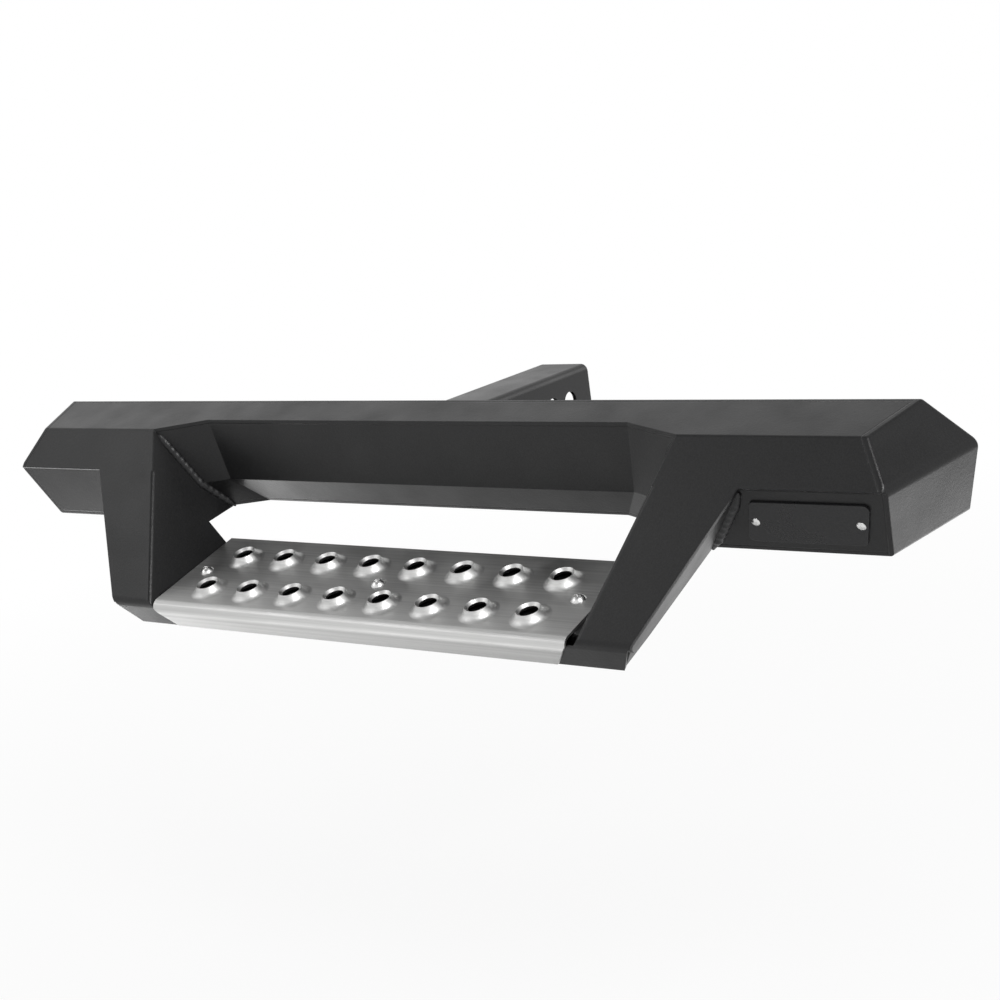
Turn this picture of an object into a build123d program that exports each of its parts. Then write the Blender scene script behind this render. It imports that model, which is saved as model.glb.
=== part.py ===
from build123d import *
from math import radians, tan
import os

os.makedirs("parts", exist_ok=True)

# Millimetres. Beam frame while building: X to the right, Y towards the vehicle, Z up,
# zero at the middle of the beam's top back edge with the top face level.
# The finished pieces are turned by TUBE_PITCH so that the receiver tube is level.
# Depths are measured forwards from the beam's back, drops down from its top.

# sheet and bends
SHEET = 3.0
BEND_R = 3.0
LEG_BEND_R = 4.0
FOOT_BEND_R = 7.0
END_BEND_R = 8.0

# tread
TREAD_HALF = 196.0
TREAD_DROP = 95.8
TREAD_BACK = 60.6
TREAD_T = 2.0
TREAD_BEND_R = 7.0
TREAD_LIP_DROP = 23.6
TREAD_LIP_CUT = 14.4
TREAD_CUT_START = 5.0
DIMPLE_COUNT = 8
DIMPLE_PITCH = 44.0
DIMPLE_FROM_BACK = 29.1
DIMPLE_ROW_PITCH = 45.7
DIMPLE_BASE_D = 31.0
DIMPLE_RIM_D = 18.0
DIMPLE_HOLE_D = 13.4
DIMPLE_HEIGHT = 6.0
DIMPLE_LIP = 2.0
SCREW_FROM_END = 17.0
SCREW_FROM_BACK = 50.4
PAN_FLANGE = 16.0
PAN_GAP = 1.7

# legs
TREAD_GAP = 2.0
FOOT_GAP = 6.0
FOOT_BELOW = 3.4
FOOT_WIDTH = 42.5
LEG_SPLAY = 48.0
LEG_WIDTH = 52.5
SIDE_LEAN = 37.5
SIDE_FOOT = 10.0
LIP_DROP = 24.0
LIP_BACK = 9.5
LIP_TAPER_OUT = 14.5
LIP_GAP = 2.0
LIP_TUCK = 14.0
PLATE_BELOW = 21.2
PLATE_REAR = 66.0

# beam wings
WING = 101.5
TOP_DEPTH = 51.0
TOP_END_IN = 18.0
TOP_END_SWEEP = 16.0
FRONT_ANGLE = 42.6
RIDGE_DROP = 24.3
RIDGE_DROP_BACK = 29.7
BEAM_HEIGHT = 77.5
BOTTOM_DEPTH = 64.3
BOTTOM_END_IN = 10.0
BOTTOM_FALL = 3.0

# beam middle
FACET_TOP = 48.0
CENTRE_TOP_DEPTH = 34.0
CENTRE_RIDGE_DROP = 52.0
CENTRE_RIDGE_DEPTH = 39.0
CENTRE_RIDGE_IN = 6.5
CENTRE_BOTTOM_DEPTH = 25.0
FACET_RIDGE = 22.5
FACET_BOTTOM_IN = 15.0
FACET_BOTTOM_DEPTH = 35.0

# screws
SCREW_D = 6.0
SCREW_HOLE_D = 6.6
HEAD_D = 11.5
HEAD_H = 3.6
SOCKET_AF = 4.0
SOCKET_DEEP = 2.0
WASHER_D = 12.5
WASHER_T = 1.6
NUT_AF = 10.0
NUT_T = 5.0
SCREW_TAIL = 2.0

# receiver tube
TUBE = 50.8
TUBE_WALL = 3.2
TUBE_R = 6.0
TUBE_PITCH = 14.2
TUBE_TOP_AT_BACK = 12.0
TUBE_END = 184.0
PIN_HOLE_D = 16.7
PIN_FROM_END = 55.0
PIN_SPACING = 25.0

# badge
BADGE_FROM_LEG = 40.5
BADGE_L = 84.0
BADGE_H = 34.0
BADGE_LEAN = 11.0
BADGE_T = 1.5
BADGE_R = 4.0
RIVET_SPACING = 74.0
RIVET_D = 4.0
RIVET_HEAD_D = 6.5
RIVET_HEAD_H = 1.3

# longer than any piece, for cutting tools
REACH = 2000.0
block = Box(REACH, REACH, REACH)


def front_y(drop):
    """Y of the sloping front plane at a drop below the top."""
    return -TOP_DEPTH - drop / tan(radians(FRONT_ANGLE))


def bottom_z(depth):
    """Z of the beam's underside, which falls a little towards the back."""
    return -BEAM_HEIGHT - BOTTOM_FALL * (1 - depth / BOTTOM_DEPTH)


def plane_of(a, b, c, inside):
    """Plane through three points whose normal looks away from the inside point."""
    a, b, c, inside = Vector(*a), Vector(*b), Vector(*c), Vector(*inside)
    normal = (b - a).cross(c - a).normalized()
    if normal.dot(inside - a) > 0:
        normal = normal * -1
    return Plane(origin=a, z_dir=normal)


def meet(plane, x=None, y=None, z=None):
    """The point of a plane that has the two coordinates given."""
    o, n = plane.origin, plane.z_dir
    if x is None:
        x = o.X - (n.Y * (y - o.Y) + n.Z * (z - o.Z)) / n.X
    else:
        y = o.Y - (n.X * (x - o.X) + n.Z * (z - o.Z)) / n.Y
    return (x, y, z)


def flip_x(plane):
    """The mirror image of a plane across the middle of the step."""
    o, n = plane.origin, plane.z_dir
    return Plane(origin=(-o.X, o.Y, o.Z), z_dir=(-n.X, n.Y, n.Z))


def turned(plane):
    """The same plane looking the other way."""
    return Plane(origin=plane.origin, z_dir=plane.z_dir * -1)


def keep_inside(body, *planes, inset=0.0):
    """The part of a body behind every plane, each plane first moved in by the inset."""
    for plane in planes:
        body = split(body, bisect_by=plane.offset(-inset), keep=Keep.BOTTOM)
    return body


def peel(body, *planes):
    """Take a sheet off each of a body's faces, and give the sheet and what is left."""
    sheet = None
    for plane in planes:
        cut = plane.offset(-SHEET)
        piece = split(body, bisect_by=cut, keep=Keep.TOP)
        sheet = piece if sheet is None else sheet + piece
        body = split(body, bisect_by=cut, keep=Keep.BOTTOM)
    return sheet, body


def edges_on(body, *planes):
    """The edges of a body that lie on all of the planes."""

    def on_all(edge):
        return all(abs(plane.to_local_coords(edge.center()).Z) < 1e-3 for plane in planes)

    return body.edges().filter_by(on_all)


def rounded(a, b, radius):
    """All that lies behind two planes, with the edge where they meet rounded."""
    wedge = keep_inside(block, a, b)
    return fillet(edges_on(wedge, a, b), radius)


def folded(a, b, radius, thickness=SHEET):
    """A sheet folded along the line where two planes meet, with its outer radius given."""
    inner = rounded(a.offset(-thickness), b.offset(-thickness), radius - thickness)
    return rounded(a, b, radius) - inner


def both(body):
    """A right-hand body together with its mirror image."""
    return body + mirror(body, about=Plane.YZ)


# Corners of the right-hand half
FOOT_DROP = TREAD_DROP + FOOT_BELOW
LEG_IN_FOOT = TREAD_HALF + FOOT_GAP
LEG_IN_TOP = LEG_IN_FOOT + LEG_SPLAY
LEG_OUT_RIDGE = LEG_IN_TOP + LEG_WIDTH
BEAM_HALF = LEG_OUT_RIDGE + WING
TOP_HALF = BEAM_HALF - TOP_END_IN
LEG_TOP = (LEG_IN_TOP, -TOP_DEPTH, 0)
LEG_RIDGE = (LEG_OUT_RIDGE, front_y(RIDGE_DROP), -RIDGE_DROP)
FOOT_IN = (LEG_IN_FOOT, front_y(FOOT_DROP), -FOOT_DROP)
FOOT_OUT = (LEG_IN_FOOT + FOOT_WIDTH, front_y(FOOT_DROP), -FOOT_DROP)
TREAD_SEAT = (TREAD_HALF + TREAD_GAP, -TREAD_BACK, -TREAD_DROP)
TOP_FRONT = (TOP_HALF, -TOP_DEPTH, 0)
TOP_BACK = (TOP_HALF + TOP_END_SWEEP, 0, 0)
RIDGE_FRONT = (BEAM_HALF, front_y(RIDGE_DROP), -RIDGE_DROP)
BOTTOM_FRONT = (BEAM_HALF - BOTTOM_END_IN, -BOTTOM_DEPTH, bottom_z(BOTTOM_DEPTH))
BOTTOM_BACK = (0, 0, bottom_z(0))
CENTRE_TOP = (LEG_IN_TOP - FACET_TOP, -CENTRE_TOP_DEPTH, 0)
CENTRE_RIDGE = (CENTRE_TOP[0] - CENTRE_RIDGE_IN, -CENTRE_RIDGE_DEPTH, -CENTRE_RIDGE_DROP)
CENTRE_BOTTOM = (0, -CENTRE_BOTTOM_DEPTH, bottom_z(CENTRE_BOTTOM_DEPTH))
ALONG = Vector(1, 0, 0)

# Points inside the wing, behind the facets and in the middle, to turn the planes by
WING_CORE = ((LEG_IN_TOP + BEAM_HALF) / 2, -TOP_DEPTH / 2, -BEAM_HEIGHT / 2)
FACET_CORE = ((LEG_IN_TOP + CENTRE_TOP[0]) / 2, -CENTRE_BOTTOM_DEPTH / 2, -BEAM_HEIGHT / 2)
CENTRE_CORE = (0, -CENTRE_BOTTOM_DEPTH / 2, -BEAM_HEIGHT / 2)

# Faces of the beam, right-hand side
top = Plane(origin=(0, 0, 0), z_dir=(0, 0, 1))
back = Plane(origin=(0, 0, 0), z_dir=(0, 1, 0))
bottom = plane_of(BOTTOM_FRONT, BOTTOM_BACK, Vector(*BOTTOM_BACK) + ALONG, WING_CORE)
front = plane_of(TOP_FRONT, LEG_TOP, RIDGE_FRONT, WING_CORE)
RIDGE_IN = Vector(*RIDGE_FRONT) - front.z_dir * SHEET
lower = plane_of(RIDGE_IN, RIDGE_IN - ALONG, BOTTOM_FRONT, WING_CORE)
end_upper = plane_of(TOP_BACK, TOP_FRONT, RIDGE_FRONT, WING_CORE)
RIDGE_BACK = meet(end_upper, y=0, z=-RIDGE_DROP_BACK)
end_lower = plane_of(RIDGE_FRONT, RIDGE_BACK, BOTTOM_FRONT, WING_CORE)
leg_inner = plane_of(LEG_TOP, FOOT_IN, TREAD_SEAT, WING_CORE)
leg_outer = plane_of(LEG_RIDGE, FOOT_OUT, Vector(*FOOT_OUT) + front.z_dir, FOOT_IN)
beside_leg = turned(leg_inner)
centre_front = plane_of(CENTRE_RIDGE, Vector(*CENTRE_RIDGE) - ALONG, CENTRE_TOP, CENTRE_CORE)
centre_lower = plane_of(CENTRE_RIDGE, Vector(*CENTRE_RIDGE) - ALONG, CENTRE_BOTTOM, CENTRE_CORE)
facet_upper = plane_of(LEG_TOP, CENTRE_TOP, CENTRE_RIDGE, FACET_CORE)
facet_ridge = meet(facet_upper, x=CENTRE_RIDGE[0] + FACET_RIDGE, z=-CENTRE_RIDGE_DROP)
facet_bottom = (facet_ridge[0] - FACET_BOTTOM_IN, -FACET_BOTTOM_DEPTH, bottom_z(FACET_BOTTOM_DEPTH))
facet_lower = plane_of(CENTRE_RIDGE, facet_ridge, facet_bottom, FACET_CORE)

# Solid bodies that the sheets are cut from
wing_outline = [
    (0, 0),
    (-TOP_DEPTH, 0),
    (RIDGE_FRONT[1], RIDGE_FRONT[2]),
    (RIDGE_IN.Y, RIDGE_IN.Z),
    (BOTTOM_FRONT[1], BOTTOM_FRONT[2]),
    (BOTTOM_BACK[1], BOTTOM_BACK[2]),
]
bar = extrude(Plane.YZ * make_face(Polyline(*wing_outline, close=True)), amount=REACH / 2)
bar = fillet(edges_on(bar, top, front), BEND_R)
centre = keep_inside(block, top, back, bottom, centre_front, centre_lower, beside_leg, flip_x(beside_leg))
facet = keep_inside(block, top, back, bottom, facet_upper, facet_lower, beside_leg, turned(Plane.YZ))

# Beam sheets, taken off the solid one face at a time
end_cap = bar & folded(end_upper, end_lower, END_BEND_R)
end_cap = fillet(edges_on(end_cap, top, end_upper) + edges_on(end_cap, bottom, end_lower), BEND_R)
end_inner = rounded(end_upper.offset(-SHEET), end_lower.offset(-SHEET), END_BEND_R - SHEET)
wing = keep_inside(bar & end_inner, leg_inner)
whole = both(wing) + centre + both(facet)
back_panel, whole = peel(whole, back)
bottom_panel, whole = peel(whole, bottom)
top_sheet, whole = peel(whole, top)
front_sheet, behind_front = peel(keep_inside(whole, leg_inner), front)
wing_lower, _ = peel(behind_front, lower)
hollow = keep_inside(centre, centre_front, centre_lower, inset=SHEET)
hollow += both(keep_inside(facet, facet_upper, facet_lower, inset=SHEET))
centre_panel = keep_inside(whole, beside_leg, flip_x(beside_leg)) - hollow

# Legs: front sheet, turned-back foot and inner plate, folded from one sheet with the beam's top
LIP_LOW_OUT = (FOOT_OUT[0] - LIP_TAPER_OUT, FOOT_OUT[1] + LIP_BACK, FOOT_OUT[2] - LIP_DROP)
lip = plane_of(FOOT_IN, FOOT_OUT, LIP_LOW_OUT, WING_CORE)
lip_low = Plane(origin=LIP_LOW_OUT, z_dir=(0, LIP_BACK, -LIP_DROP))
lip_side_out = plane_of(FOOT_OUT, LIP_LOW_OUT, Vector(*FOOT_OUT) + lip.z_dir, FOOT_IN)
above_foot = plane_of(FOOT_IN, FOOT_OUT, Vector(*FOOT_OUT) + front.z_dir, LEG_TOP)
tread_lip = lip.offset(TREAD_T + LIP_GAP)
cut_high = meet(tread_lip, x=TREAD_HALF, z=-TREAD_DROP - TREAD_CUT_START)
cut_low = meet(tread_lip, x=TREAD_HALF - TREAD_LIP_CUT, z=-TREAD_DROP - TREAD_LIP_DROP)
lip_cut = plane_of(cut_high, cut_low, Vector(*cut_high) + back.z_dir, CENTRE_CORE)
bent = folded(front, lip, FOOT_BEND_R)
leg_front = keep_inside(bent, leg_inner, leg_outer, above_foot, top.offset(-SHEET))
foot = keep_inside(bent, lip_side_out, turned(lip_cut.offset(-LIP_TUCK)), lip_low, turned(above_foot))
plate_outline = [
    (-TOP_DEPTH + 2 * SHEET, -SHEET),
    (facet_ridge[1] + SHEET, facet_ridge[2]),
    (facet_bottom[1] + SHEET, facet_bottom[2]),
    (-PLATE_REAR, bottom_z(PLATE_REAR)),
    (-PLATE_REAR, -TREAD_DROP - PLATE_BELOW),
    (-REACH / 4, -TREAD_DROP - PLATE_BELOW),
    (-REACH / 4, -SHEET),
]
plate = extrude(Plane.YZ * make_face(Polyline(*plate_outline, close=True)), amount=REACH / 4)
plate = keep_inside(plate, front, leg_inner)
plate = split(plate, bisect_by=leg_inner.offset(-SHEET), keep=Keep.TOP)
plate = keep_inside(plate, lip, inset=SHEET)
leg = ((leg_front + plate) & rounded(front, leg_inner, LEG_BEND_R)) + foot
beam_shell = top_sheet + both(front_sheet + leg)
wing_lower = wing_lower - leg
bottom_panel = bottom_panel - both(leg)

# Side plate that closes the leg behind its front sheet, from the wing's lower face to the foot
side_high = Vector(*LEG_RIDGE) - front.z_dir * SHEET
side_foot = Vector(*FOOT_OUT) - front.z_dir * SHEET
side_low = Vector(LEG_OUT_RIDGE - SIDE_LEAN, BOTTOM_FRONT[1], BOTTOM_FRONT[2])
leg_side = plane_of(side_high, side_foot, side_low, LEG_TOP)
side_end = Vector(*LIP_LOW_OUT) + Vector(0, SIDE_FOOT, 0)
side_rear = plane_of(side_low, side_end, side_end + leg_side.z_dir, FOOT_OUT)
behind_leg = rounded(front.offset(-SHEET), lip.offset(-SHEET), FOOT_BEND_R - SHEET)
side_plate = keep_inside(behind_leg, lip_low, turned(lower), side_rear, leg_side)
side_plate = split(side_plate, bisect_by=leg_side.offset(-SHEET), keep=Keep.TOP)

# Tread: bent plate with two rows of drawn dimples, its lip in front of the feet
tread_top = top.offset(-TREAD_DROP)
tread_back = Plane(origin=(0, -TREAD_BACK, 0), z_dir=(0, 1, 0))
tread_end = Plane(origin=(TREAD_HALF, 0, 0), z_dir=(1, 0, 0))
tread_low = turned(tread_top.offset(-TREAD_LIP_DROP))
tread = folded(tread_top, tread_lip, TREAD_BEND_R, TREAD_T)
tread = keep_inside(tread, tread_back, tread_low, tread_end, flip_x(tread_end), lip_cut, flip_x(lip_cut))

r_base, r_rim, r_hole = DIMPLE_BASE_D / 2, DIMPLE_RIM_D / 2, DIMPLE_HOLE_D / 2
r_mid = (r_base + r_rim) / 2
rim_top = (r_rim, DIMPLE_HEIGHT)
rim_low = (r_hole, DIMPLE_HEIGHT - DIMPLE_LIP)
flare = Bezier((r_base, 0), (r_mid, 0), rim_top)
rim = Line(rim_top, rim_low)
under = Bezier(rim_low, (r_mid - TREAD_T / 2, -TREAD_T), (r_base, -TREAD_T))
wall = Line((r_base, -TREAD_T), (r_base, 0))
dimple = revolve(Plane.XZ * make_face([flare, rim, under, wall]), axis=Axis.Z)
first_dimple = -(DIMPLE_COUNT - 1) / 2 * DIMPLE_PITCH
dimple_back = -TREAD_BACK - DIMPLE_FROM_BACK
dimple_rows = [dimple_back, dimple_back - DIMPLE_ROW_PITCH]
dimple_places = [
    Pos(first_dimple + i * DIMPLE_PITCH, row, -TREAD_DROP) for i in range(DIMPLE_COUNT) for row in dimple_rows
]
screw_x = TREAD_HALF - SCREW_FROM_END
screw_y = -TREAD_BACK - SCREW_FROM_BACK
screw_places = [Pos(x, screw_y, -TREAD_DROP) for x in (-screw_x, 0, screw_x)]
tread -= [place * Cylinder(r_base, 3 * TREAD_T) for place in dimple_places]
tread += [place * dimple for place in dimple_places]
tread -= [place * Cylinder(SCREW_HOLE_D / 2, 3 * TREAD_T) for place in screw_places]

# Pan under the tread, between the leg plates
pan_top = -TREAD_DROP - TREAD_T
pan_front = meet(lip.offset(-SHEET), x=0, z=pan_top - PAN_FLANGE)[1] + PAN_GAP
pan_depth = -TREAD_BACK - pan_front
pan = Pos(0, pan_front + pan_depth / 2, pan_top - SHEET / 2) * Box(REACH / 4, pan_depth, SHEET)
pan_edge = Pos(0, 0, pan_top - PAN_FLANGE / 2) * Box(REACH / 4, SHEET, PAN_FLANGE)
pan += Pos(0, pan_front + SHEET / 2, 0) * pan_edge
pan += Pos(0, -TREAD_BACK - SHEET / 2, 0) * pan_edge
pan = fillet(pan.edges().filter_by(Axis.X).group_by(Axis.Z)[-1], SHEET)
pan = keep_inside(pan, beside_leg, flip_x(beside_leg))
pan -= [place * Cylinder(SCREW_HOLE_D / 2, 4 * (TREAD_T + SHEET)) for place in screw_places]

# Screws, washers and nuts, with zero on the tread's top
grip = TREAD_T + SHEET
stack = grip + WASHER_T + NUT_T + SCREW_TAIL
dome_r = (HEAD_D**2 / 4 + HEAD_H**2) / (2 * HEAD_H)
head = Pos(0, 0, HEAD_H - dome_r) * Sphere(dome_r) & Pos(0, 0, HEAD_H) * Cylinder(HEAD_D, 2 * HEAD_H)
screw = head + Pos(0, 0, -stack / 2) * Cylinder(SCREW_D / 2, stack)
socket = extrude(RegularPolygon(SOCKET_AF / 2, 6, major_radius=False), amount=SOCKET_DEEP)
screw -= Pos(0, 0, HEAD_H - SOCKET_DEEP) * socket
washer = Cylinder(WASHER_D / 2, WASHER_T) - Cylinder(SCREW_HOLE_D / 2, WASHER_T)
washer = Pos(0, 0, -grip - WASHER_T / 2) * washer
nut = extrude(RegularPolygon(NUT_AF / 2, 6, major_radius=False), amount=-NUT_T)
nut = Pos(0, 0, -grip - WASHER_T) * (nut - Cylinder(SCREW_D / 2, 3 * NUT_T))

# Receiver tube, along Y with its top at zero height, then pitched to the beam
tube_plane = Plane(origin=(0, TUBE_END, -TUBE / 2), x_dir=(1, 0, 0), z_dir=(0, 1, 0))
tube_inside = TUBE - 2 * TUBE_WALL
tube_length = TUBE_END + TOP_DEPTH + TUBE
tube_solid = extrude(tube_plane * RectangleRounded(TUBE, TUBE, TUBE_R), amount=-tube_length)
tube_bore = extrude(tube_plane * RectangleRounded(tube_inside, tube_inside, TUBE_R / 2), amount=-tube_length)
pin = Rot(0, 90, 0) * Cylinder(PIN_HOLE_D / 2, 2 * TUBE)
pin_y = [TUBE_END - PIN_FROM_END, TUBE_END - PIN_FROM_END + PIN_SPACING]
tube = tube_solid - tube_bore - [Pos(0, y, -TUBE / 2) * pin for y in pin_y]
tube_seat = Pos(0, 0, -TUBE_TOP_AT_BACK) * Rot(-TUBE_PITCH, 0, 0)
tube = keep_inside(tube_seat * tube, centre_front, centre_lower, inset=SHEET)
back_panel -= tube_seat * tube_solid

# Badge plate and rivets in the middle of the right-hand lower face
badge_x = LEG_OUT_RIDGE + BADGE_FROM_LEG
badge_middle = (RIDGE_IN + Vector(*BOTTOM_FRONT)) * 0.5
badge_origin = Vector(badge_x, badge_middle.Y, badge_middle.Z)
badge_plane = Plane(origin=badge_origin, x_dir=(1, 0, 0), z_dir=lower.z_dir)
lean = BADGE_LEAN / 2
badge_points = [
    (-BADGE_L / 2 - lean, -BADGE_H / 2),
    (BADGE_L / 2 - lean, -BADGE_H / 2),
    (BADGE_L / 2 + lean, BADGE_H / 2),
    (-BADGE_L / 2 + lean, BADGE_H / 2),
]
badge_face = make_face(Polyline(*badge_points, close=True))
badge = extrude(fillet(badge_face.vertices(), BADGE_R), amount=BADGE_T)
rivet_r = (RIVET_HEAD_D**2 / 4 + RIVET_HEAD_H**2) / (2 * RIVET_HEAD_H)
rivet_box = Pos(0, 0, RIVET_HEAD_H) * Cylinder(RIVET_HEAD_D, 2 * RIVET_HEAD_H)
rivet = Pos(0, 0, RIVET_HEAD_H - rivet_r) * Sphere(rivet_r) & rivet_box
rivet += Pos(0, 0, -(BADGE_T + SHEET) / 2) * Cylinder(RIVET_D / 2, BADGE_T + SHEET)
rivet_places = [badge_plane * Pos(x, 0, BADGE_T) for x in (-RIVET_SPACING / 2, RIVET_SPACING / 2)]
rivet_holes = [place * Cylinder(RIVET_D / 2, 4 * SHEET) for place in rivet_places]
badge_plate = badge_plane * badge - rivet_holes
wing_lower_left = mirror(wing_lower, about=Plane.YZ)
wing_lower_right = wing_lower - rivet_holes

# The hitch frame: tube level, zero at the middle of the inner pin hole
level = Rot(TUBE_PITCH, 0, 0) * Pos(0, 0, TUBE_TOP_AT_BACK)
to_hitch = Pos(0, PIN_FROM_END - TUBE_END, TUBE / 2) * level
nodes = {
    "beam_shell": [beam_shell],
    "centre_panel": [centre_panel],
    "wing_lower_left": [wing_lower_left],
    "wing_lower_right": [wing_lower_right],
    "leg_side_left": [mirror(side_plate, about=Plane.YZ)],
    "leg_side_right": [side_plate],
    "end_cap_left": [mirror(end_cap, about=Plane.YZ)],
    "end_cap_right": [end_cap],
    "back_panel": [back_panel],
    "bottom_panel": [bottom_panel],
    "step_pan": [pan],
    "tread_plate": [tread],
    "tread_screws": [place * screw for place in screw_places],
    "tread_washers": [place * washer for place in screw_places],
    "tread_nuts": [place * nut for place in screw_places],
    "receiver_tube": [tube],
    "badge_plate": [badge_plate],
    "badge_rivets": [place * rivet for place in rivet_places],
}
for name, bodies in nodes.items():
    solids = [to_hitch * solid for body in bodies for solid in body.solids()]
    piece = solids[0] if len(solids) == 1 else Compound(children=solids)
    piece.label = name
    export_step(piece, f"parts/{name}.step")
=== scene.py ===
import math
import random

import bmesh
import bpy
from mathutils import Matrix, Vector


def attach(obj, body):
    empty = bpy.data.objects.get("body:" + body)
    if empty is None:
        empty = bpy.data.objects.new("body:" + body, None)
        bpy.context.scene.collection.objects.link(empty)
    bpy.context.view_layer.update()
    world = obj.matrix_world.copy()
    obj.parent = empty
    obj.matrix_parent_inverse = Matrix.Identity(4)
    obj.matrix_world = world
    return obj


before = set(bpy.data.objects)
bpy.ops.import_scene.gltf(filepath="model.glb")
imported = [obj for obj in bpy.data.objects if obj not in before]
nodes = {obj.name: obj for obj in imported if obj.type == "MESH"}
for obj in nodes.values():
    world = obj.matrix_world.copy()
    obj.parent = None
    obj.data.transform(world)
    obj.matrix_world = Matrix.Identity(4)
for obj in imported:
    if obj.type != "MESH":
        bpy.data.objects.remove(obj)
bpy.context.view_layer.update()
random.seed(7)

# Sizes of the part that place the welds: the tube's pitch to the beam, then millimetres
TUBE_PITCH = math.radians(14.2)
TUBE = 50.8
TUBE_TOP_AT_BACK = 12.0
PIN_BEHIND_BEAM = 129.0
MM = 0.001

# Welds of the right leg in the beam's frame: line in millimetres and direction of the crown
FACET_LINE = ((247.2, -50.6, -4.5), (221.0, -48.4, -52.0), (206.4, -36.6, -77.6))
FACET_CROWN = (-0.75, -0.66, 0.15)
WING_LINE = ((302.0, -75.9, -28.6), (266.0, -64.9, -76.4))
WING_CROWN = (0.62, -0.74, -0.28)

# Width, height and ripple length of the beads in metres
FACET_BEAD = (0.0074, 0.0032, 0.0056)
WING_BEAD = (0.0105, 0.0042, 0.0062)

# Camera in metres, degrees and millimetres, from a fit of the part's corners to the photograph
CAMERA_AT = (0.86356, -1.17621, 0.27478)
CAMERA_TURN = (76.4508, 7.7467, 35.7515)
CAMERA_LENS = 64.901
CAMERA_SENSOR = 36.0

# Stage sizes in metres
FLOOR_Z = -0.45
FLOOR_REACH = 12.0
LOW_LAMP_Z = -0.42
# Middle of the painted shade under the step, on the floor as mirrors see it
SHADE_MIDDLE = (0.15, -0.22)

# Strength of the even light, and how white the surroundings look at the sides and overhead
EVEN_LIGHT = 0.3
SIDES_WHITE = 1.0
ZENITH_WHITE = 0.15

# Upward part of a direction where the sides end and where the zenith starts
SIDES_END = 0.68
ZENITH_START = 0.88

WHITE = (1.0, 1.0, 1.0, 1.0)


def hitch(x, y, z):
    """A point of the beam's frame, in millimetres, as a point of the part's frame in metres."""
    s, c = math.sin(TUBE_PITCH), math.cos(TUBE_PITCH)
    z += TUBE_TOP_AT_BACK
    return Vector((x, y * c - z * s - PIN_BEHIND_BEAM, y * s + z * c + TUBE / 2)) * MM


def hitch_dir(x, y, z):
    """A direction of the beam's frame in the part's frame."""
    return (hitch(x, y, z) - hitch(0, 0, 0)).normalized()


# Shader nodes
def new_material(name, colour, roughness, metallic=0.0):
    """A material with its shader set, and the tree and shader to add texture to."""
    mat = bpy.data.materials.new(name)
    mat.use_nodes = True
    tree = mat.node_tree
    shader = tree.nodes["Principled BSDF"]
    shader.inputs["Base Color"].default_value = (*colour, 1.0)
    shader.inputs["Roughness"].default_value = roughness
    shader.inputs["Metallic"].default_value = metallic
    mat.diffuse_color = (*colour, 1.0)
    return mat, tree, shader


def coordinates(tree, stretch=(1.0, 1.0, 1.0)):
    """Object coordinates, in metres, stretched along each axis."""
    coord = tree.nodes.new("ShaderNodeTexCoord")
    mapping = tree.nodes.new("ShaderNodeMapping")
    mapping.inputs["Scale"].default_value = stretch
    tree.links.new(coord.outputs["Object"], mapping.inputs["Vector"])
    return mapping.outputs["Vector"]


def noise(tree, vector, scale, detail, roughness=0.5):
    """A noise texture's value."""
    node = tree.nodes.new("ShaderNodeTexNoise")
    node.inputs["Scale"].default_value = scale
    node.inputs["Detail"].default_value = detail
    node.inputs["Roughness"].default_value = roughness
    tree.links.new(vector, node.inputs["Vector"])
    return node.outputs["Fac"]


def spread(tree, value, low, high, start=0.3, end=0.7):
    """A value from start to end carried over to the range from low to high."""
    node = tree.nodes.new("ShaderNodeMapRange")
    node.inputs["From Min"].default_value = start
    node.inputs["From Max"].default_value = end
    node.inputs["To Min"].default_value = low
    node.inputs["To Max"].default_value = high
    tree.links.new(value, node.inputs["Value"])
    return node.outputs["Result"]


def ramp(tree, value, low, high, start=0.3, end=0.7):
    """A colour that goes from low to high as a texture value goes from start to end."""
    node = tree.nodes.new("ShaderNodeValToRGB")
    for element, place, colour in zip(node.color_ramp.elements, (start, end), (low, high)):
        element.position = place
        element.color = (*colour, 1.0)
    tree.links.new(value, node.inputs["Fac"])
    return node.outputs["Color"]


def relief(tree, shader, layers, edge):
    """Bumps of a height, strength and depth, one over another, on edges rounded to a radius."""
    normal = None
    if edge:
        bevel = tree.nodes.new("ShaderNodeBevel")
        bevel.samples = 6
        bevel.inputs["Radius"].default_value = edge
        normal = bevel.outputs["Normal"]
    for height, strength, depth in layers:
        bump = tree.nodes.new("ShaderNodeBump")
        bump.inputs["Strength"].default_value = strength
        bump.inputs["Distance"].default_value = depth
        tree.links.new(height, bump.inputs["Height"])
        if normal:
            tree.links.new(normal, bump.inputs["Normal"])
        normal = bump.outputs["Normal"]
    tree.links.new(normal, shader.inputs["Normal"])


def maths(tree, operation, first, second):
    """The sum, product or larger one of two values."""
    node = tree.nodes.new("ShaderNodeMath")
    node.operation = operation
    tree.links.new(first, node.inputs[0])
    tree.links.new(second, node.inputs[1])
    return node.outputs["Value"]


def away_from(tree, x, y):
    """Distance, in metres, of a place on the floor from a point of it."""
    node = tree.nodes.new("ShaderNodeVectorMath")
    node.operation = "DISTANCE"
    tree.links.new(coordinates(tree), node.inputs[0])
    node.inputs[1].default_value = (x, y, 0.0)
    return node.outputs["Value"]


def straight_rays(tree):
    """One where the camera looks straight at a surface."""
    return tree.nodes.new("ShaderNodeLightPath").outputs["Is Camera Ray"]


def mirrored_rays(tree):
    """One where the camera looks by way of a mirror or through glass."""
    path = tree.nodes.new("ShaderNodeLightPath")
    return maths(tree, "MAXIMUM", path.outputs["Is Glossy Ray"], path.outputs["Is Transmission Ray"])


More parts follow.
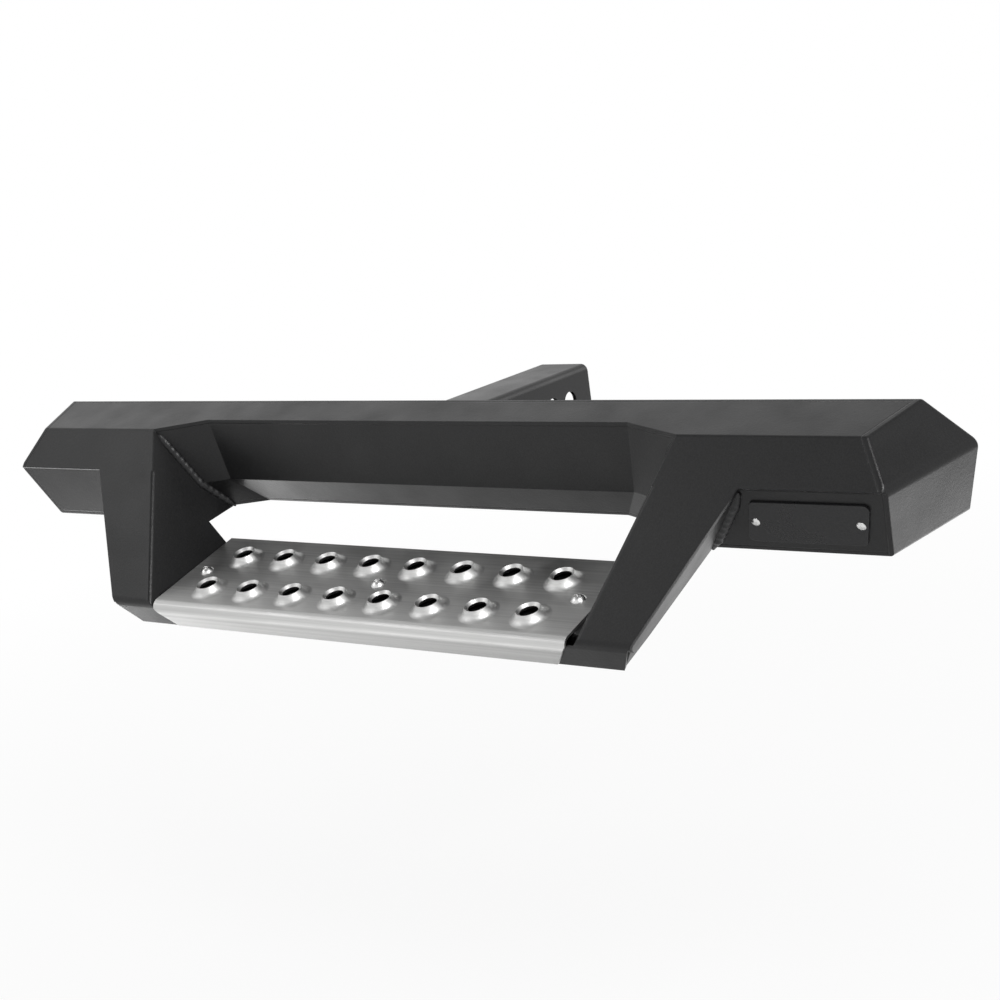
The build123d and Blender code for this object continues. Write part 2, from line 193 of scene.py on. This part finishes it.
def mixed(tree, share, first, second, output):
    """Sends a mix to the named output: the first shader, and the second by its share."""
    mix = tree.nodes.new("ShaderNodeMixShader")
    tree.links.new(share, mix.inputs["Fac"])
    tree.links.new(first, mix.inputs[1])
    tree.links.new(second, mix.inputs[2])
    tree.links.new(mix.outputs["Shader"], tree.nodes[output].inputs["Surface"])


# Materials
def powder_coat(name, dark, light, rough, edge):
    """Fine-textured black powder coat over steel, a little uneven in gloss."""
    mat, tree, shader = new_material(name, dark, rough)
    place = coordinates(tree)
    grit = noise(tree, place, scale=950.0, detail=3.0, roughness=0.6)
    peel = noise(tree, place, scale=420.0, detail=2.0)
    cloud = noise(tree, place, scale=26.0, detail=3.0)
    colour = ramp(tree, grit, dark, light, start=0.35)
    tree.links.new(colour, shader.inputs["Base Color"])
    gloss = spread(tree, cloud, low=rough - 0.05, high=rough + 0.07)
    tree.links.new(gloss, shader.inputs["Roughness"])
    shader.inputs["Specular IOR Level"].default_value = 0.33
    relief(tree, shader, [(peel, 0.16, 0.0004), (grit, 0.4, 0.00018)], edge)
    return mat


def brushed_steel(name, low, high, rough, stretch, edge):
    """Stainless steel brushed along one axis, with fine scratches."""
    mat, tree, shader = new_material(name, high, rough, metallic=1.0)
    finer = tuple(2.6 * v for v in stretch)
    coarser = tuple(0.12 * v for v in stretch)
    lines = noise(tree, coordinates(tree, stretch), scale=1.0, detail=4.0, roughness=0.7)
    scratch = noise(tree, coordinates(tree, finer), scale=1.0, detail=2.0)
    streak = noise(tree, coordinates(tree, coarser), scale=1.0, detail=4.0, roughness=0.7)
    smear = noise(tree, coordinates(tree), scale=18.0, detail=3.0)
    tree.links.new(ramp(tree, streak, low, high), shader.inputs["Base Color"])
    gloss = spread(tree, smear, low=rough - 0.06, high=rough + 0.08)
    tree.links.new(gloss, shader.inputs["Roughness"])
    relief(tree, shader, [(lines, 0.16, 0.00006), (scratch, 0.1, 0.00003)], edge)
    return mat


def plain_metal(name, low, high, rough, scale, edge):
    """Small plated hardware: a mottled metal with soft edges."""
    mat, tree, shader = new_material(name, high, rough, metallic=1.0)
    place = coordinates(tree)
    mottle = noise(tree, place, scale, detail=3.0)
    fine = noise(tree, place, 6.0 * scale, detail=2.0)
    tree.links.new(ramp(tree, mottle, low, high), shader.inputs["Base Color"])
    gloss = spread(tree, mottle, low=rough - 0.06, high=rough + 0.08)
    tree.links.new(gloss, shader.inputs["Roughness"])
    relief(tree, shader, [(fine, 0.15, 0.00008)], edge)
    return mat


coat = powder_coat(
    "black_powder_coat",
    dark=(0.0045, 0.0045, 0.0049), light=(0.0105, 0.0105, 0.011), rough=0.35, edge=0.0012)
stainless = brushed_steel(
    "brushed_stainless",
    low=(0.48, 0.48, 0.476), high=(0.65, 0.65, 0.642), rough=0.43,
    stretch=(16.0, 4200.0, 4200.0), edge=0.0003)
screw_steel = plain_metal(
    "screw_steel",
    low=(0.6, 0.6, 0.6), high=(0.8, 0.8, 0.79), rough=0.26, scale=260.0, edge=0.0004)
zinc = plain_metal(
    "zinc_plate",
    low=(0.42, 0.43, 0.45), high=(0.60, 0.61, 0.62), rough=0.36, scale=320.0, edge=0.0003)
rivet_metal = plain_metal(
    "rivet_metal",
    low=(0.55, 0.55, 0.55), high=(0.74, 0.74, 0.73), rough=0.26, scale=380.0, edge=0.0003)
badge_black = powder_coat(
    "badge_satin_black",
    dark=(0.011, 0.011, 0.012), light=(0.02, 0.02, 0.021), rough=0.3, edge=0.0004)
# The welds' coat is the beam's black powder coat painted lighter: a painted sheen where the rippled
# beads catch the light
weld_coat = powder_coat(
    "coated_weld",
    dark=(0.008, 0.008, 0.0085), light=(0.018, 0.018, 0.019), rough=0.36, edge=0.0)

finishes = {
    "tread_plate": stainless,
    "tread_screws": screw_steel,
    "tread_washers": zinc,
    "tread_nuts": zinc,
    "badge_plate": badge_black,
    "badge_rivets": rivet_metal,
}
for name, node in nodes.items():
    node.data.materials.clear()
    node.data.materials.append(finishes.get(name, coat))


# Weld beads
def place_on(points, distance):
    """The point at a distance along a line of points, and the line's direction there."""
    for a, b in zip(points, points[1:]):
        length = (b - a).length
        if distance <= length or b is points[-1]:
            break
        distance -= length
    along = (b - a).normalized()
    return a + along * min(distance, length), along


def bead(name, points, outwards, width, height, pitch):
    """A rippled weld bead along a line, with its crown towards the outward direction."""
    rings_per_ripple = 5
    points_across = 11
    end_share, end_length = 0.35, 1.6 * width
    root_depth = 0.4 * height
    bulge = 0.45 * pitch
    total = sum((b - a).length for a, b in zip(points, points[1:]))
    count = round(total / (pitch / rings_per_ripple))
    shape = bmesh.new()
    rings = []
    for i in range(count + 1):
        s = total * i / count
        centre, along = place_on(points, s)
        crown = (outwards - along * outwards.dot(along)).normalized()
        side = along.cross(crown)
        wave = 0.5 + 0.5 * math.cos(2 * math.pi * s / pitch)
        taper = min(1.0, end_share + min(s, total - s) / end_length)
        wide = width * taper * (0.94 + 0.06 * wave + random.uniform(-0.02, 0.02))
        high = height * taper * (0.88 + 0.12 * wave + random.uniform(-0.03, 0.03))
        ring = []
        for k in range(points_across):
            turn = math.pi * (k / (points_across - 1))
            across = side * (0.5 * wide * math.cos(turn))
            up = crown * (high * math.sin(turn))
            ahead = along * (bulge * math.sin(turn))
            ring.append(shape.verts.new(centre + across + up + ahead))
        ring.append(shape.verts.new(centre - crown * root_depth))
        rings.append(ring)
    for ring, following in zip(rings, rings[1:]):
        for k in range(len(ring)):
            n = (k + 1) % len(ring)
            shape.faces.new((ring[k], ring[n], following[n], following[k]))
    shape.faces.new(reversed(rings[0]))
    shape.faces.new(rings[-1])
    bmesh.ops.recalc_face_normals(shape, faces=shape.faces)
    for face in shape.faces:
        face.smooth = True
    mesh = bpy.data.meshes.new(name)
    shape.to_mesh(mesh)
    shape.free()
    obj = bpy.data.objects.new(name, mesh)
    bpy.context.collection.objects.link(obj)
    obj.data.materials.append(weld_coat)
    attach(obj, "root")


leg_welds = (
    ("weld_leg_facet_", FACET_LINE, FACET_CROWN, FACET_BEAD),
    ("weld_leg_wing_", WING_LINE, WING_CROWN, WING_BEAD),
)
for side, sign in (("left", -1), ("right", 1)):
    for name, line, (out_x, out_y, out_z), sizes in leg_welds:
        points = [hitch(sign * x, y, z) for x, y, z in line]
        bead(name + side, points, hitch_dir(sign * out_x, out_y, out_z), *sizes)

# Camera
camera_data = bpy.data.cameras.new("camera")
camera_data.sensor_width = CAMERA_SENSOR
camera_data.lens = CAMERA_LENS
camera_data.clip_start = 0.05
camera_data.clip_end = 50.0
camera = bpy.data.objects.new("camera", camera_data)
camera.location = CAMERA_AT
camera.rotation_euler = [math.radians(v) for v in CAMERA_TURN]
bpy.context.collection.objects.link(camera)
bpy.context.scene.camera = camera


# Stage: a pale floor well below the step, which hangs from its hitch, white surroundings and soft lamps
def surroundings():
    """An even light, with white sides and a dim zenith where they are seen or mirrored."""
    world = bpy.data.worlds.new("studio")
    bpy.context.scene.world = world
    world.use_nodes = True
    tree = world.node_tree
    even = tree.nodes["Background"]
    even.inputs["Color"].default_value = WHITE
    even.inputs["Strength"].default_value = EVEN_LIGHT
    white = tree.nodes.new("ShaderNodeBackground")
    white.inputs["Color"].default_value = WHITE
    heading = tree.nodes.new("ShaderNodeTexCoord")
    split = tree.nodes.new("ShaderNodeSeparateXYZ")
    tree.links.new(heading.outputs["Generated"], split.inputs["Vector"])
    fade = spread(tree, split.outputs["Z"], SIDES_WHITE, ZENITH_WHITE, SIDES_END, ZENITH_START)
    tree.links.new(fade, white.inputs["Strength"])
    seen = maths(tree, "MAXIMUM", straight_rays(tree), mirrored_rays(tree))
    mixed(tree, seen, even.outputs["Background"], white.outputs["Background"], "World Output")


def pale_floor():
    """A floor that looks white, with a faint shadow, and with painted shade under the step in mirrors.
    """
    mesh = bpy.data.meshes.new("floor")
    shape = bmesh.new()
    bmesh.ops.create_grid(shape, x_segments=2, y_segments=2, size=FLOOR_REACH)
    shape.to_mesh(mesh)
    shape.free()
    floor = bpy.data.objects.new("floor", mesh)
    floor.location = (0.0, 0.0, FLOOR_Z)
    bpy.context.collection.objects.link(floor)
    mat, tree, shader = new_material("floor_white", (0.9, 0.9, 0.9), roughness=0.9)
    seen = spread(tree, away_from(tree, 0.0, 0.0), low=0.9, high=1.0, start=0.3, end=1.6)
    # Painted shade: mirrors see the floor's white glow fade to a fifth around a point under the step,
    # which darkens it there
    mirrored = spread(tree, away_from(tree, *SHADE_MIDDLE), low=0.2, high=1.0, start=0.2, end=0.6)
    seen = maths(tree, "MULTIPLY", straight_rays(tree), seen)
    mirrored = maths(tree, "MULTIPLY", mirrored_rays(tree), mirrored)
    glow = tree.nodes.new("ShaderNodeEmission")
    glow.inputs["Color"].default_value = WHITE
    glow.inputs["Strength"].default_value = 1.0
    share = maths(tree, "ADD", seen, mirrored)
    mixed(tree, share, shader.outputs["BSDF"], glow.outputs["Emission"], "Material Output")
    floor.data.materials.append(mat)


def lamp(name, place, target, size, power):
    """A soft rectangular area lamp that faces its target, in metres and watts."""
    data = bpy.data.lights.new(name, "AREA")
    data.shape = "RECTANGLE"
    data.size, data.size_y = size
    data.energy = power
    obj = bpy.data.objects.new(name, data)
    obj.location = place
    obj.rotation_euler = (Vector(target) - Vector(place)).to_track_quat("-Z", "Y").to_euler()
    bpy.context.collection.objects.link(obj)


def low_lamp(name, x, y, size, power):
    """A lamp just over the floor that shines straight up."""
    lamp(name, (x, y, LOW_LAMP_Z), (x, y, 0.0), size, power)


surroundings()
pale_floor()
lamp("overhead", (-0.1, 0.1, 1.9), target=(0.0, -0.1, 0.0), size=(2.2, 1.6), power=3.0)
lamp("right_high", (1.05, -0.9, 1.36), target=(-0.1, -0.25, 0.0), size=(0.7, 0.7), power=20.0)
lamp("left_front", (-0.9, -0.85, 0.75), target=(-0.25, -0.3, 0.0), size=(0.5, 0.5), power=1.2)
low_lamp("left_floor", x=-0.74, y=-0.01, size=(0.4, 0.4), power=1.6)
low_lamp("front_floor", x=-0.36, y=-0.56, size=(0.7, 0.35), power=0.4)
low_lamp("right_floor", x=0.55, y=0.28, size=(0.45, 0.45), power=1.8)
lamp("back_right", (1.0, 1.6, 0.8), target=(0.0, 0.0, 0.0), size=(1.0, 1.0), power=6.0)

bpy.context.scene.view_settings.view_transform = "Standard"
